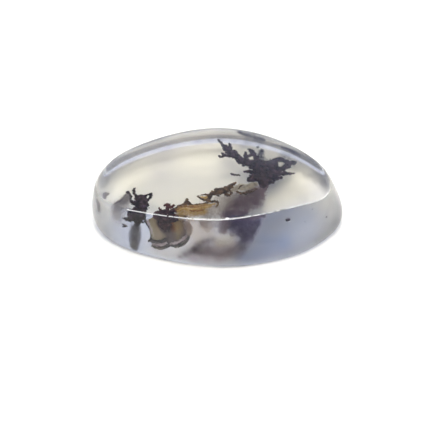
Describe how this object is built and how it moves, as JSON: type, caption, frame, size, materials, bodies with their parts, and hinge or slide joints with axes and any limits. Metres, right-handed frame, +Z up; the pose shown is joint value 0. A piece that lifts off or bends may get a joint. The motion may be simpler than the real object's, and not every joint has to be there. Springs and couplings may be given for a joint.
{
  "type": "dendritic agate specimen",
  "caption": "Polished freeform cabochon of translucent agate with tree-like and moss-like growths inside, resting on a flat base.",
  "frame": {"origin": "centre of the bounding box at the level of the flat base", "axes": "+X along the stone towards its narrower end, +Y from the crisp front edge to the rounded rear edge, +Z up through the table"},
  "size_m": [0.0298, 0.02, 0.0066],
  "materials": {
    "agate": "polished",
    "black_oxide": "dull crust",
    "rosette_moss": "dull, banded"
  },
  "bodies": {
    "root": {"agate": "agate", "black_tree": "black_oxide", "left_tree": "black_oxide", "rosette": "rosette_moss"}
  },
  "joints": []
}
